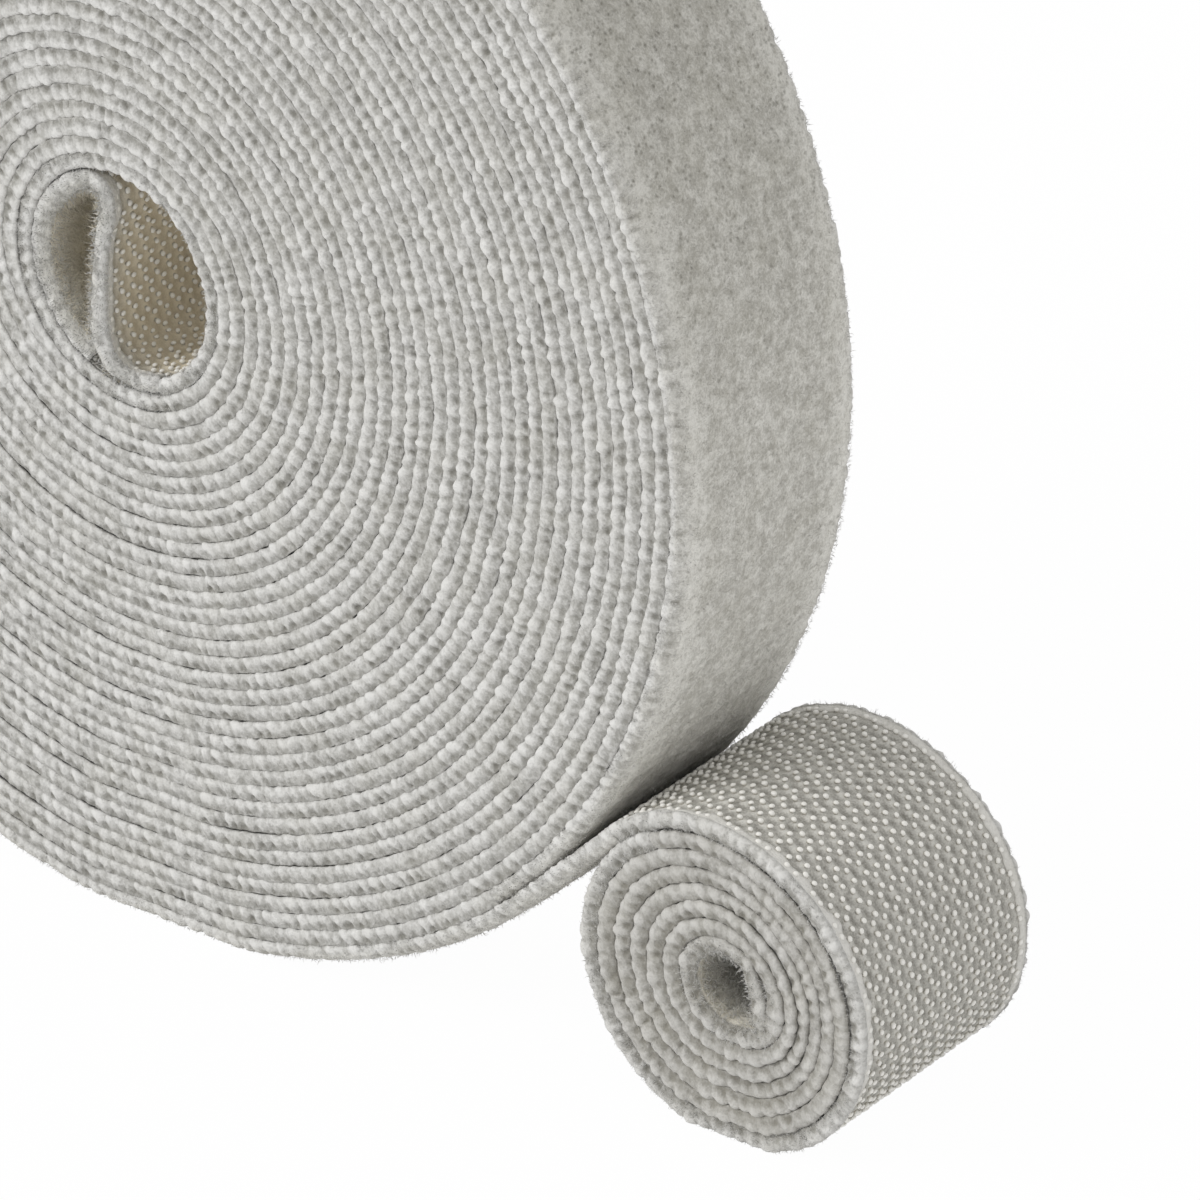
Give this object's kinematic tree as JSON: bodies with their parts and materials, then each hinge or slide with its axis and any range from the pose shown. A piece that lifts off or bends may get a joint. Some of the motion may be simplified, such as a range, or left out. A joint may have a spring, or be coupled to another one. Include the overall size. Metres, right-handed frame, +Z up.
{
  "type": "plant tie tape roll",
  "caption": "Double-sided hook-and-loop garden tie tape wound in a large flat coil, its outer end rolled up in a small coil beside it, both standing on their rims.",
  "frame": {"origin": "middle of the bounding box at the level that both coils stand on", "axes": "+X from the large coil towards the small coil, +Y along the tape's width to the back, +Z up"},
  "size_m": [0.1256, 0.02, 0.1118],
  "materials": {
    "loop_fleece": "soft knitted pile, pale warm grey with darker flecks",
    "hook_backing": "woven backing with satin nylon hooks in staggered rows, grey taupe",
    "tape_edge": "stacked cut edges of the tape, knitted stitches with thin dark lines between turns"
  },
  "bodies": {
    "root": {"loop_ribbon": "loop_fleece", "hook_ribbon": "hook_backing", "inner_turns": "tape_edge", "inner_end_loop_ribbon": "loop_fleece", "inner_end_hook_ribbon": "hook_backing"}
  },
  "joints": []
}
